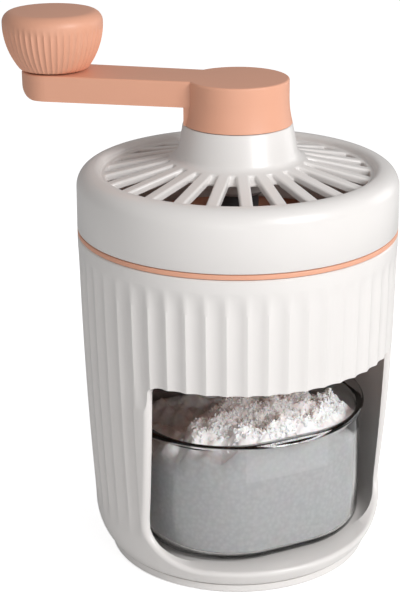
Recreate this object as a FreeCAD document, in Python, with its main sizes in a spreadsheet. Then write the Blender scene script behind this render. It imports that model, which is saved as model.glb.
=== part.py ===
import FreeCAD, Part
import math
import os
import re

import Sketcher

# Hand-cranked ice shaver, millimetres, +Z up.
# The origin is on the body's axis, on the table that the rubber pads stand on.
# The cup window faces -Y.  Every size is a cell of the sheet below.

SIZES = {
    # Housing: a slightly barrelled tower with a window for the cup
    "housing_top_radius": 58.2,
    "housing_low_radius": 54.4,
    "housing_foot_radius": 49,
    "housing_barrel": 1700,
    "housing_foot_round": 22,
    "housing_wall": 2.5,
    "housing_top": 123.7,
    "housing_shoulder": 16,
    "housing_bottom": 3.5,
    "floor_top": 10.4,
    "floor_thick": 2.5,
    "bay_corner": 4.6,
    "skirt_thick": 3.4,
    "window_inset": 3.8,
    "window_top": 81.5,
    "window_low_round": 13,
    "window_top_round": 3,
    "flute_count": 51,
    "flute_deep": 0.5,
    "flute_first": 61.5,
    "flute_low": 18,
    "flute_high": 119,
    "flute_split": 71.5,
    "flute_ramp": 4,
    "flute_core": 1.5,
    "guide_angle": 22,
    "guide_thick": 4,
    "guide_high": 60,
    # Base cover, pads and the screws that hold the cover
    "cover_wall": 1.6,
    "cover_thick": 1.8,
    "cover_edge": 1,
    "cover_rim_high": 1.5,
    "spot_wall": 1.2,
    "pad_radius": 6,
    "pad_thick": 1.6,
    "pad_proud": 0.25,
    "pad_inset": 12.6,
    "pad_count": 4,
    "boss_inset": 3.6,
    "base_screw_radius": 1.5,
    "base_screw_head": 2.9,
    "base_screw_head_high": 1.1,
    "base_screw_seat_thick": 0.7,
    "base_screw_bite": 4,
    "boss_radius": 4,
    # Ice hopper, which hangs in the housing by its flange
    "hopper_play": 0.7,
    "hopper_wall": 2.3,
    "hopper_collar_high": 3.4,
    "hopper_floor_top": 89.5,
    "hopper_floor_thick": 3.5,
    "hopper_corner": 3,
    "flange_thick": 1.7,
    "flange_edge": 0.4,
    "bush_boss_radius": 12,
    "bush_boss_drop": 4,
    "floor_bush_wall": 1.9,
    "floor_bush_flange": 10.5,
    "floor_bush_flange_thick": 1,
    # Shaving blade under the hopper's floor
    "slot_near": 15,
    "slot_inset": 8.1,
    "throat": 6,
    "blade_lean": 16,
    "blade_long": 15,
    "blade_thick": 0.9,
    "blade_bevel": 2.6,
    "blade_edge_out": 2,
    "blade_proud": 0.4,
    "holder_thick": 3.9,
    "holder_back": 6.5,
    "holder_side": 3,
    "blade_screw_radius": 1.5,
    "blade_screw_head": 2.8,
    "blade_screw_head_high": 2,
    "blade_screw_bite": 2.6,
    "blade_screw_inset": 6,
    # Lid with its slotted grille and the neck that carries the crank
    "lid_side_top": 141.1,
    "lid_draft": 0.2,
    "lid_shoulder": 6.3,
    "lid_crest_flat": 0.2,
    "lid_inner_round": 2,
    "grille_low": 144.6,
    "grille_inner": 24.2,
    "grille_high": 150.4,
    "grille_thick": 2.4,
    "lid_wall": 2.4,
    "lid_skirt_wall": 2,
    "lid_skirt_drop": 5,
    "neck_round": 3,
    "neck_base_radius": 21.3,
    "neck_base": 153.1,
    "neck_top_radius": 19.6,
    "neck_top": 163,
    "neck_wall": 2.2,
    "neck_roof": 2.6,
    "bearing_tube_wall": 2.1,
    "bearing_tube_low": 139.6,
    "slot_count": 24,
    "slot_edge": 2,
    "slot_inner": 24.9,
    "spoke_width": 4.4,
    "neck_bush_wall": 1.85,
    "neck_bush_flange": 12,
    "neck_bush_flange_thick": 1.2,
    # Crank: hub, arm, column, rotor and their fixings
    "crank_angle": 142.2,
    "crank_reach": 67.5,
    "hub_gap": 0.3,
    "hub_radius": 18.3,
    "hub_foot_radius": 19.5,
    "hub_foot_high": 9,
    "hub_foot_sweep": 36,
    "hub_top": 179.2,
    "arm_thick": 9.3,
    "arm_root_half": 10.2,
    "arm_end_half": 11.7,
    "arm_end_round": 7.5,
    "arm_edge": 0.7,
    "tongue_reach": 17.5,
    "column_radius": 7.5,
    "column_flats": 6.3,
    "column_bore": 2.6,
    "column_top_grip": 9,
    "column_low_grip": 5,
    "column_low": 103,
    "clip_groove_deep": 1.2,
    "clip_thick": 1.1,
    "clip_width": 3.7,
    "clip_mouth": 5,
    "washer_radius": 11,
    "washer_thick": 1,
    "insert_radius": 4,
    "insert_long": 5,
    "drive_screw_radius": 2,
    "drive_screw_head": 4,
    "drive_screw_head_high": 3,
    "rotor_hub_radius": 11,
    "rotor_hub_top": 108,
    "rotor_lift": 1.4,
    "rotor_spigot": 6,
    "rotor_spigot_drop": 6.5,
    "paddle_count": 3,
    "paddle_thick": 3.2,
    "paddle_gap": 2.1,
    "paddle_root_high": 15,
    "paddle_tip_high": 6,
    "tooth_count": 6,
    "tooth_deep": 2.6,
    # Knob that spins on a pin at the end of the arm
    "knob_gap": 0.6,
    "knob_foot_radius": 12.2,
    "knob_radius": 18,
    "knob_side_high": 16.7,
    "knob_side_sweep": 26,
    "knob_shoulder": 4,
    "knob_dome": 0.25,
    "knob_wall": 2,
    "knob_hollow": 13.5,
    "knob_socket_wall": 2.4,
    "knob_socket_deep": 16.8,
    "knob_bush_wall": 1.5,
    "pin_radius": 2.5,
    "pin_head_radius": 4.2,
    "pin_head_high": 2,
    # Cup: round rim over a softly squared body
    "window_play": 0.5,
    "cup_rim_thick": 1.6,
    "cup_top": 57.7,
    "cup_rim_over": 5,
    "cup_corner": 33,
    "cup_draft": 0.4,
    "cup_wall": 1.8,
    "cup_floor": 2.2,
    "cup_foot_round": 6.5,
    # Clearances
    "seat_gap": 0.2,
    "slide_gap": 0.2,
    "running_gap": 0.06,
    "fit_gap": 0.05,
    "cup_play": 0.5,
    "collar_play": 0.4,
}

# Places worked out from the sizes above
DERIVED = {
    "barrel_x": "housing_low_radius / 2 + housing_top_radius / 2"
                " - barrel_drop * (housing_top - housing_shoulder) / barrel_chord",
    "barrel_z": "housing_shoulder / 2 + housing_top / 2"
                " + barrel_drop * (housing_top_radius - housing_low_radius) / barrel_chord",
    "barrel_chord": "sqrt((housing_top_radius - housing_low_radius)^2 + (housing_top - housing_shoulder)^2)",
    "barrel_drop": "sqrt(housing_barrel^2 - barrel_chord^2 / 4)",
    "floor_low": "floor_top - floor_thick",
    "flute_step": "360 / flute_count",
    "window_half": "housing_low_radius - housing_wall - window_inset",
    "cover_top": "housing_bottom - seat_gap / 2",
    "cover_low": "pad_proud",
    "skirt_inner": "housing_foot_radius - skirt_thick",
    "base_screw_seat": "cover_top - base_screw_seat_thick",
    "base_screw_circle": "skirt_inner - boss_radius - boss_inset",
    "pad_circle": "skirt_inner - pad_inset",
    "flange_low": "housing_top + seat_gap",
    "flange_top": "flange_low + flange_thick",
    "hopper_radius": "min(barrel_x + sqrt(housing_barrel^2 - (hopper_floor_low - barrel_z)^2) - housing_wall;"
                     " collar_radius) - hopper_play",
    "hopper_inner": "hopper_radius - hopper_wall",
    "hopper_floor_low": "hopper_floor_top - hopper_floor_thick",
    "collar_radius": "housing_top_radius - housing_wall - collar_play",
    "spigot_bore": "rotor_spigot + running_gap",
    "floor_bush_radius": "spigot_bore + floor_bush_wall",
    "floor_bush_hole": "floor_bush_radius + fit_gap",
    "bush_boss_low": "hopper_floor_low - bush_boss_drop",
    "slot_far": "hopper_inner - slot_inset",
    "blade_edge_z": "hopper_floor_top + blade_proud",
    "holder_low": "hopper_floor_low - holder_thick",
    "blade_heel": "blade_edge_out - blade_long * cos(blade_lean)",
    "holder_rear": "blade_heel - holder_back",
    "blade_screw_y": "blade_heel - holder_back / 2 - 0.5",
    "lid_low": "flange_top + seat_gap",
    "lid_side_radius": "housing_top_radius - lid_draft",
    "lid_crest_radius": "lid_side_radius - lid_shoulder",
    "lid_crest": "lid_side_top + lid_shoulder",
    "grille_outer": "lid_crest_radius - lid_crest_flat - lid_inner_round",
    "slot_outer": "grille_outer - slot_edge",
    "lid_skirt_radius": "hopper_inner - slide_gap",
    "lid_skirt_low": "flange_top - lid_skirt_drop",
    "neck_bush_bore": "column_radius + running_gap",
    "neck_bush_radius": "neck_bush_bore + neck_bush_wall",
    "bearing_bore": "neck_bush_radius + fit_gap",
    "hub_bottom": "neck_top + hub_gap",
    "arm_low": "hub_top - arm_thick",
    "column_top": "hub_bottom + column_top_grip",
    "insert_low": "column_top + seat_gap",
    "insert_top": "insert_low + insert_long",
    "washer_top": "neck_top + washer_thick",
    "clip_top": "bearing_tube_low - seat_gap",
    "clip_low": "clip_top - clip_thick",
    "clip_groove_radius": "column_radius - clip_groove_deep",
    "rotor_low": "hopper_floor_top + rotor_lift",
    "spigot_low": "rotor_low - rotor_spigot_drop - rotor_lift",
    "drive_head_top": "spigot_low + drive_screw_head_high + 0.4",
    "tooth_low": "rotor_low",
    "paddle_reach": "hopper_inner - paddle_gap",
    "knob_low": "hub_top + knob_gap",
    "knob_bush_bore": "pin_radius + running_gap",
    "knob_bush_radius": "knob_bush_bore + knob_bush_wall",
    "knob_socket_radius": "knob_bush_radius + fit_gap",
    "cup_low": "floor_top + seat_gap",
    "cup_rim_radius": "window_half - window_play",
    "cup_half": "cup_rim_radius - cup_rim_over",
    "cup_inner_half": "cup_half - cup_wall",
    "cup_inner_corner": "cup_corner - cup_wall",
}

V = FreeCAD.Vector
UP = V(0, 0, 1)

doc = FreeCAD.newDocument("IceShaver")
sheet = doc.addObject("Spreadsheet::Sheet", "Sizes")
for row, alias in enumerate([*SIZES, *DERIVED], start=1):
    sheet.set(f"A{row}", alias.replace("_", " "))
    sheet.setAlias(f"B{row}", alias)
for row, text in enumerate([*SIZES.values(), *DERIVED.values()], start=1):
    sheet.set(f"B{row}", str(text) if row <= len(SIZES) else f"={text}")
doc.recompute()


def formula(text):
    """A formula with each size's name as a cell of the sheet."""
    def word(match):
        name = match.group(0)
        return "Sizes." + name if name in SIZES or name in DERIVED else name
    return re.sub(r"[a-z][a-z_]+", word, str(text))


def value(text):
    """The number that a formula gives."""
    result = sheet.evalExpression(formula(text))
    return float(getattr(result, "Value", result))


def barrel(z):
    """Formula of the housing's outer radius at height z."""
    return f"(barrel_x + sqrt(housing_barrel^2 - (({z}) - barrel_z)^2))"


def new_body(name):
    body = doc.addObject("PartDesign::Body", name)
    body.Label = name
    return body


def sketch(body, name, plane="XY_Plane", lift=0, shift=0, turn=0):
    """A sketch on one of the body's own planes, lifted off it, shifted along its X or turned."""
    new = body.newObject("Sketcher::SketchObject", name)
    base = [p for p in body.Origin.OriginFeatures if p.Role == plane][0]
    new.AttachmentSupport = [(base, "")]
    new.MapMode = "FlatFace"
    axis = UP if plane == "XY_Plane" else V(0, 1, 0)
    new.AttachmentOffset = FreeCAD.Placement(V(0, 0, 0), FreeCAD.Rotation(axis, value(turn)))
    for direction, amount in (("z", lift), ("x", shift)):
        if amount != 0:
            new.setExpression(f"AttachmentOffset.Base.{direction}", formula(amount))
    if turn != 0:
        new.setExpression("AttachmentOffset.Rotation.Angle", formula(turn))
    return new


def outline(target, points):
    """A closed outline.  Each point is (x, y); (x, y, radius, side) starts an arc to the next
    point, with its centre on the left for side 1 and on the right for side -1."""
    count = len(points)
    places = [V(value(p[0]), value(p[1]), 0) for p in points]
    edges = []
    starts = []
    ends = []
    held = []
    for number, point in enumerate(points):
        a = places[number]
        b = places[(number + 1) % count]
        starts.append((number, 1))
        ends.append((number, 2))
        if len(point) == 2:
            edges.append(Part.LineSegment(a, b))
            continue
        radius = value(point[2])
        side = point[3]
        half = (b - a).Length / 2
        across = UP.cross(b - a).normalize()
        centre = (a + b) / 2 + across * side * math.sqrt(max(radius ** 2 - half ** 2, 0))
        first, last = (a, b) if side > 0 else (b, a)
        begin = math.atan2(first.y - centre.y, first.x - centre.x)
        finish = math.atan2(last.y - centre.y, last.x - centre.x)
        if finish < begin:
            finish += 2 * math.pi
        edges.append(Part.ArcOfCircle(Part.Circle(centre, UP, radius), begin, finish))
        if side < 0:
            starts[-1], ends[-1] = ends[-1], starts[-1]
        held.append((point[2], Sketcher.Constraint("Radius", number, radius)))
    for number, point in enumerate(points):
        held.append((None, Sketcher.Constraint("Coincident", *ends[number - 1], *starts[number])))
        x_place = Sketcher.Constraint("DistanceX", -1, 1, *starts[number], places[number].x)
        y_place = Sketcher.Constraint("DistanceY", -1, 1, *starts[number], places[number].y)
        held += [(point[0], x_place), (point[1], y_place)]
    target.addGeometry(edges, False)
    target.addConstraint([constraint for _, constraint in held])
    for number, (text, _) in enumerate(held):
        if text is not None:
            target.setExpression(f"Constraints[{number}]", formula(text))
    return target


def disc(target, radius, x=0, y=0):
    """A full circle."""
    centre = V(value(x), value(y), 0)
    edge = target.addGeometry(Part.Circle(centre, UP, value(radius)), False)
    held = target.addConstraint(Sketcher.Constraint("Radius", edge, value(radius)))
    target.setExpression(f"Constraints[{held}]", formula(radius))
    for kind, text, place in (("DistanceX", x, centre.x), ("DistanceY", y, centre.y)):
        held = target.addConstraint(Sketcher.Constraint(kind, -1, 1, edge, 3, place))
        target.setExpression(f"Constraints[{held}]", formula(text))
    return target


def feature(body, kind, name, profile, **settings):
    """A sketch-based feature that has to change the body's volume the way its kind says."""
    before = body.Shape.Volume if not body.Shape.isNull() else 0
    new = body.newObject("PartDesign::" + kind, name)
    new.Profile = profile
    for key, text in settings.items():
        if isinstance(text, str):
            new.setExpression(key, formula(text))
        else:
            setattr(new, key, text)
    doc.recompute()
    change = new.Shape.Volume - before
    adds = kind in ("Pad", "Revolution", "AdditivePipe", "AdditiveLoft")
    if adds != (change > 0):
        raise ValueError(f"{name} changes its body by {change:.1f} cubic mm")
    return new


def revolved(body, name, points, shift=0):
    """A turned form: the outline is a section in the XZ plane, turned about the vertical."""
    profile = outline(sketch(body, name + "_section", "XZ_Plane", shift=shift), points)
    return feature(body, "Revolution", name, profile, ReferenceAxis=(profile, ["V_Axis"]), Angle=360)


def turned_out(body, name, points, shift=0):
    """A turned cut, made like a turned form."""
    profile = outline(sketch(body, name + "_section", "XZ_Plane", shift=shift), points)
    return feature(body, "Groove", name, profile, ReferenceAxis=(profile, ["V_Axis"]), Angle=360)


def around(body, name, originals, count, angle=360):
    """Copies round the body's vertical axis."""
    axis = [a for a in body.Origin.OriginFeatures if a.Role == "Z_Axis"][0]
    new = body.newObject("PartDesign::PolarPattern", name)
    new.Originals = originals
    new.Axis = (axis, [""])
    if angle == 360:
        new.Angle = 360
    else:
        new.setExpression("Angle", formula(angle))
    new.setExpression("Occurrences", formula(count))
    body.Tip = new
    doc.recompute()
    return new


def rounded(body, name, radius, chosen):
    """Round the edges of the body that the test picks."""
    before = body.Tip
    names = [f"Edge{n}" for n, edge in enumerate(before.Shape.Edges, start=1) if chosen(edge)]
    if not names:
        raise ValueError(f"{name} finds no edge")
    new = body.newObject("PartDesign::Fillet", name)
    new.Base = (before, names)
    new.setExpression("Radius", formula(radius))
    doc.recompute()
    return new


def at_height(edge, z, slack=0.02):
    box = edge.BoundBox
    return abs(box.ZMin - z) < slack and abs(box.ZMax - z) < slack


def is_ring(edge, radius):
    return abs(getattr(edge.Curve, "Radius", 0) - radius) < 0.001 and edge.isClosed()


def place(body, x=0, y=0, angle=0):
    """Stand a body at a point of the plan, turned about the vertical."""
    body.Placement = FreeCAD.Placement(V(0, 0, 0), FreeCAD.Rotation(UP, value(angle)))
    for direction, amount in (("x", x), ("y", y)):
        if amount != 0:
            body.setExpression(f"Placement.Base.{direction}", formula(amount))
    if angle != 0:
        body.setExpression("Placement.Rotation.Angle", formula(angle))


def rectangle(x_low, x_high, y_low, y_high):
    return [(x_low, y_low), (x_high, y_low), (x_high, y_high), (x_low, y_high)]


# Housing

def make_housing():
    """The tower is built solid, with its flutes, and then hollowed from above."""
    body = new_body("housing_shell")
    core_low = "flute_low + flute_ramp"
    core_high = "flute_high - flute_ramp"
    revolved(body, "tower", [
        (0, "floor_low"),
        ("skirt_inner", "floor_low"),
        ("skirt_inner", "housing_bottom"),
        ("housing_foot_radius", "housing_bottom", "housing_foot_round", 1),
        ("housing_low_radius", "housing_shoulder", "housing_barrel", 1),
        (barrel("flute_low"), "flute_low"),
        (barrel(core_low) + " - flute_core", core_low),
        (barrel(core_high) + " - flute_core", core_high),
        (barrel("flute_high"), "flute_high", "housing_barrel", 1),
        ("housing_top_radius", "housing_top"),
        (0, "housing_top"),
    ])
    make_flutes(body)
    turned_out(body, "bay", [
        (0, "floor_top"),
        ("housing_low_radius - housing_wall - bay_corner", "floor_top", "bay_corner * 1.6", 1),
        ("housing_low_radius - housing_wall", "housing_shoulder", "housing_barrel", 1),
        ("housing_top_radius - housing_wall", "housing_top"),
        ("housing_top_radius - housing_wall", "housing_top + 1"),
        (0, "housing_top + 1"),
    ])
    make_window(body)
    make_guides(body)
    make_bosses(body)
    return body


def make_flutes(body):
    """Upright flutes all round.  Those over the window end above it, and the arched ends of the
    others lie where the flutes run out on the conical steps of the tower."""
    count = int(value("flute_count"))
    over_window = int(value("2 * flute_first / flute_step")) + 1
    for name, low, high, plain in (("low", "flute_low - 1", "flute_split", over_window),
                                   ("high", "flute_split", "flute_high + 1", 0)):
        sections = []
        for number, z in enumerate((low, high)):
            section = sketch(body, f"{name}_flutes_{number}", lift=z)
            sections.append(fluted(section, f"({barrel(z)} - fit_gap)", count, plain))
        feature(body, "AdditiveLoft", f"{name}_flutes", sections[0], Sections=sections[1:], Ruled=True)


def fluted(target, crest, count, plain=0):
    """A round outline of concave flutes, with a plain arc in place of some of them."""
    sink = f"(flute_deep - {crest} * (1 - cos(flute_step / 2)))"
    hollow = f"(({crest} * sin(flute_step / 2))^2 + {sink}^2) / (2 * {sink})"
    points = []
    for number in range(count - plain + (plain > 0)):
        angle = f"(flute_first - 90 + {number} * flute_step)"
        spot = (f"{crest} * cos({angle})", f"{crest} * sin({angle})")
        if number == count - plain:
            points.append((*spot, crest, 1))
        else:
            points.append((*spot, hollow, -1))
    return outline(target, points)


def make_window(body):
    side = "window_half"
    low = "floor_top"
    high = "window_top"
    big = "window_low_round"
    small = "window_top_round"
    section = outline(sketch(body, "window_outline", "XZ_Plane"), [
        (f"-{side} + {big}", low),
        (f"{side} - {big}", low, big, 1),
        (side, f"{low} + {big}"),
        (side, f"{high} - {small}", small, 1),
        (f"{side} - {small}", high),
        (f"-{side} + {small}", high, small, 1),
        (f"-{side}", f"{high} - {small}"),
        (f"-{side}", f"{low} + {big}", big, 1),
    ])
    feature(body, "Pocket", "window", section, Length="housing_top_radius + 10", Reversed=True)


def make_guides(body):
    """Two upright ribs at the back of the bay that stop the cup on the body's axis."""
    inner = "cup_rim_radius + cup_play"
    for name, turn in (("guide_left", "90 + guide_angle"), ("guide_right", "90 - guide_angle")):
        section = outline(sketch(body, name + "_section", "XZ_Plane", turn=turn), [
            (inner, "floor_top - floor_thick / 2"),
            ("housing_low_radius - housing_wall - bay_corner + 1", "floor_top - floor_thick / 2"),
            ("housing_low_radius - housing_wall / 2", "housing_shoulder", "housing_barrel", 1),
            (barrel("guide_high") + " - housing_wall / 2", "guide_high"),
            (inner, "guide_high - 6"),
        ])
        feature(body, "Pad", name, section, Length="guide_thick", Midplane=True)


def make_bosses(body):
    """Screw bosses under the floor, for the base cover."""
    post = disc(sketch(body, "boss_outline", lift="housing_bottom"), "boss_radius",
                "base_screw_circle * cos(45)", "base_screw_circle * sin(45)")
    boss = feature(body, "Pad", "boss", post, Length="floor_low - housing_bottom + 0.5")
    around(body, "bosses", [boss], "pad_count")
    hole = disc(sketch(body, "boss_hole_outline", lift="housing_bottom"), "base_screw_radius + fit_gap",
                "base_screw_circle * cos(45)", "base_screw_circle * sin(45)")
    bore = feature(body, "Pocket", "boss_hole", hole, Length="base_screw_bite + 1", Reversed=True)
    around(body, "boss_holes", [bore], "pad_count")


def make_base_cover():
    """A flat plate with a rim inside the skirt, raised over the pads and under the screws' heads."""
    body = new_body("base_cover")
    rim = "skirt_inner - slide_gap"
    revolved(body, "cover", [
        (0, "cover_low"),
        ("housing_foot_radius - slide_gap - cover_edge", "cover_low", "cover_edge", 1),
        ("housing_foot_radius - slide_gap", "cover_low + cover_edge"),
        ("housing_foot_radius - slide_gap", "cover_top"),
        (rim, "cover_top"),
        (rim, "cover_top + cover_rim_high"),
        (f"{rim} - cover_wall", "cover_top + cover_rim_high"),
        (f"{rim} - cover_wall", "cover_low + cover_thick"),
        (0, "cover_low + cover_thick"),
    ])
    screw_spot = ("base_screw_circle * cos(45)", "base_screw_circle * sin(45)")
    pad_spot = ("pad_circle", 0)
    half_way = "cover_low + cover_thick / 2"
    for name, radius, spot in (("screw_spot", "base_screw_head + slide_gap + spot_wall", screw_spot),
                               ("pad_spot", "pad_radius + fit_gap + spot_wall", pad_spot)):
        round_spot = disc(sketch(body, name + "_outline", lift=half_way), radius, *spot)
        raised = feature(body, "Pad", name, round_spot, Length=f"cover_top - ({half_way})")
        around(body, name + "s", [raised], "pad_count")
    for name, radius, spot, top in (
            ("screw_hole", "base_screw_radius + slide_gap", screw_spot, "cover_top"),
            ("screw_recess", "base_screw_head + slide_gap", screw_spot, "base_screw_seat"),
            ("pad_recess", "pad_radius + fit_gap", pad_spot, "pad_thick")):
        round_hole = disc(sketch(body, name + "_outline", lift=top), radius, *spot)
        hole = feature(body, "Pocket", name, round_hole, Length=top)
        around(body, name + "s", [hole], "pad_count")
    return body


def make_pads():
    body = new_body("foot_pads")
    body.AllowCompound = True
    pad = revolved(body, "pad", [
        (0, 0),
        ("pad_radius - 0.4", 0),
        ("pad_radius", "pad_proud"),
        ("pad_radius", "pad_thick"),
        (0, "pad_thick"),
    ], shift="pad_circle")
    around(body, "pads", [pad], "pad_count")
    return body


def screw(body, name, x, seat, head, head_high, radius, bite):
    """A pan-head screw whose head lies under its seat."""
    return revolved(body, name, [
        (0, f"{seat} - {head_high}"),
        (f"{head} - 0.5", f"{seat} - {head_high}"),
        (head, f"{seat} - {head_high} + 0.5"),
        (head, seat),
        (radius, seat),
        (radius, f"{seat} + {bite} - 0.6"),
        (f"{radius} * 0.5", f"{seat} + {bite}"),
        (0, f"{seat} + {bite}"),
    ], shift=x)


def make_base_screws():
    body = new_body("base_screws")
    body.AllowCompound = True
    one = screw(body, "screw", "base_screw_circle", "base_screw_seat", "base_screw_head",
                "base_screw_head_high", "base_screw_radius",
                "(housing_bottom - base_screw_seat + base_screw_bite)")
    around(body, "screws", [one], "pad_count")
    place(body, angle=45)
    return body


# Ice hopper and its shaving blade

def make_hopper():
    body = new_body("ice_hopper")
    round_in = "hopper_corner"
    revolved(body, "bucket", [
        ("floor_bush_hole", "bush_boss_low"),
        ("bush_boss_radius", "bush_boss_low"),
        ("bush_boss_radius", "hopper_floor_low"),
        ("hopper_radius - hopper_corner", "hopper_floor_low", round_in, 1),
        ("hopper_radius", "hopper_floor_low + hopper_corner"),
        ("hopper_radius", "flange_low - hopper_collar_high"),
        ("collar_radius", "flange_low - hopper_collar_high"),
        ("collar_radius", "flange_low"),
        ("housing_top_radius - flange_edge", "flange_low", "flange_edge", 1),
        ("housing_top_radius", "flange_low + flange_edge"),
        ("housing_top_radius", "flange_top - flange_edge", "flange_edge", 1),
        ("housing_top_radius - flange_edge", "flange_top"),
        ("hopper_inner + 0.8", "flange_top"),
        ("hopper_inner", "flange_top - 0.8"),
        ("hopper_inner", "hopper_floor_top + hopper_corner", round_in, -1),
        ("hopper_inner - hopper_corner", "hopper_floor_top"),
        ("floor_bush_hole", "hopper_floor_top"),
    ])
    lean = "tan(blade_lean)"
    above = "0.25"
    heel = "blade_heel - 0.6"
    over = "hopper_floor_top + 1"
    section = outline(sketch(body, "slot_section", "YZ_Plane", lift="slot_near"), [
        (heel, "hopper_floor_low - 1"),
        ("blade_edge_out + throat", "hopper_floor_low - 1"),
        ("blade_edge_out + throat", over),
        (f"blade_edge_out - (blade_edge_z + {above} - ({over})) / {lean}", over),
        (heel, f"blade_edge_z + {above} - (blade_edge_out - ({heel})) * {lean}"),
    ])
    feature(body, "Pocket", "slot", section, Length="slot_far - slot_near", Reversed=True)
    for number, x in enumerate(blade_screw_places()):
        hole = disc(sketch(body, f"screw_hole_outline_{number}", lift="hopper_floor_low"),
                    "blade_screw_radius + fit_gap", x, "blade_screw_y")
        feature(body, "Pocket", f"screw_hole_{number}", hole, Length="blade_screw_bite + 0.3", Reversed=True)
    return body


def blade_screw_places():
    return ("slot_near + blade_screw_inset", "slot_far - blade_screw_inset")


def make_floor_bush():
    body = new_body("floor_bush")
    revolved(body, "bush", [
        ("spigot_bore", "bush_boss_low - floor_bush_flange_thick"),
        ("floor_bush_flange", "bush_boss_low - floor_bush_flange_thick"),
        ("floor_bush_flange", "bush_boss_low"),
        ("floor_bush_radius", "bush_boss_low"),
        ("floor_bush_radius", "hopper_floor_top"),
        ("spigot_bore", "hopper_floor_top"),
    ])
    return body


def make_blade():
    body = new_body("shaving_blade")
    along = ("cos(blade_lean)", "sin(blade_lean)")
    section = outline(sketch(body, "section", "YZ_Plane", lift="slot_near + slide_gap"), [
        ("blade_edge_out", "blade_edge_z"),
        (f"blade_edge_out - blade_long * {along[0]}", f"blade_edge_z - blade_long * {along[1]}"),
        (f"blade_edge_out - blade_long * {along[0]} + blade_thick * {along[1]}",
         f"blade_edge_z - blade_long * {along[1]} - blade_thick * {along[0]}"),
        (f"blade_edge_out - blade_bevel * {along[0]} + blade_thick * {along[1]}",
         f"blade_edge_z - blade_bevel * {along[1]} - blade_thick * {along[0]}"),
    ])
    feature(body, "Pad", "blade", section, Length="slot_far - slot_near - 2 * slide_gap")
    return body


def make_blade_holder():
    body = new_body("blade_holder")
    under = "(blade_edge_z - blade_thick / cos(blade_lean) - fit_gap)"
    lean = "tan(blade_lean)"
    top = "hopper_floor_low - fit_gap"
    front = "blade_edge_out - 4.5"
    clamp = outline(sketch(body, "clamp_section", "YZ_Plane", lift="slot_near - holder_side"), [
        ("holder_rear", "holder_low"),
        (front, "holder_low"),
        (f"{front} + 1.5", "holder_low + 1.5"),
        (f"{front} + 1.5", f"{top} - 1.2"),
        ("blade_heel - 0.4", f"{under} - (blade_edge_out - blade_heel + 0.4) * {lean}"),
        ("blade_heel - 0.4", top),
        ("holder_rear", top),
    ])
    feature(body, "Pad", "clamp", clamp, Length="slot_far - slot_near + 2 * holder_side")
    wedge = outline(sketch(body, "wedge_section", "YZ_Plane", lift="slot_near + slide_gap"), [
        ("blade_heel - 0.4", "holder_low + 1"),
        (front, "holder_low + 1"),
        (front, f"{under} - (blade_edge_out - ({front})) * {lean}"),
        ("blade_heel - 0.4", f"{under} - (blade_edge_out - blade_heel + 0.4) * {lean}"),
    ])
    feature(body, "Pad", "wedge", wedge, Length="slot_far - slot_near - 2 * slide_gap")
    for number, x in enumerate(blade_screw_places()):
        hole = disc(sketch(body, f"screw_hole_outline_{number}", lift="hopper_floor_low"),
                    "blade_screw_radius + slide_gap", x, "blade_screw_y")
        feature(body, "Pocket", f"screw_hole_{number}", hole, Length="holder_thick + 1")
    return body


def make_blade_screws():
    """Two screws, turned in line and stood side by side."""
    body = new_body("blade_screws")
    body.AllowCompound = True
    first, last = blade_screw_places()
    for name, x in (("screw", first), ("second_screw", last)):
        screw(body, name, x, "holder_low", "blade_screw_head", "blade_screw_head_high",
              "blade_screw_radius", "(holder_thick + blade_screw_bite)")
    place(body, y="blade_screw_y")
    return body


# Lid

def make_lid():
    body = new_body("lid_shell")
    slope = "(grille_high - grille_low) / (grille_outer - grille_inner)"
    under = f"grille_low - grille_thick + (grille_outer - RADIUS) * {slope}"
    neck_in = "neck_base_radius - neck_wall"
    revolved(body, "shell", [
        ("housing_top_radius", "lid_low"),
        ("lid_side_radius", "lid_side_top", "lid_shoulder", 1),
        ("lid_crest_radius", "lid_crest"),
        ("lid_crest_radius - lid_crest_flat", "lid_crest", "lid_inner_round", 1),
        ("grille_outer", "lid_crest - lid_inner_round"),
        ("grille_outer", "grille_low"),
        ("grille_inner", "grille_high", "neck_round", -1),
        ("neck_base_radius", "neck_base"),
        ("neck_top_radius", "neck_top"),
        ("neck_bush_flange + fit_gap", "neck_top"),
        ("neck_bush_flange + fit_gap", "neck_top - neck_bush_flange_thick"),
        ("bearing_bore", "neck_top - neck_bush_flange_thick"),
        ("bearing_bore", "bearing_tube_low"),
        ("bearing_bore + bearing_tube_wall", "bearing_tube_low"),
        ("bearing_bore + bearing_tube_wall", "neck_top - neck_roof"),
        ("neck_top_radius - neck_wall", "neck_top - neck_roof"),
        (neck_in, "grille_high - grille_thick / 2"),
        ("grille_inner - 2", under.replace("RADIUS", "(grille_inner - 2)")),
        ("lid_skirt_radius - lid_skirt_wall", under.replace("RADIUS", "(lid_skirt_radius - lid_skirt_wall)")),
        ("lid_skirt_radius - lid_skirt_wall", "lid_skirt_low + 1"),
        ("lid_skirt_radius - lid_skirt_wall + 0.5", "lid_skirt_low"),
        ("lid_skirt_radius - 0.5", "lid_skirt_low"),
        ("lid_skirt_radius", "lid_skirt_low + 1"),
        ("lid_skirt_radius", "lid_side_top", "lid_shoulder - lid_wall", -1),
        ("lid_side_radius - lid_wall", "lid_side_top - 1"),
        ("housing_top_radius - lid_wall", "lid_low"),
    ])
    make_slots(body)
    return body


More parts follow.
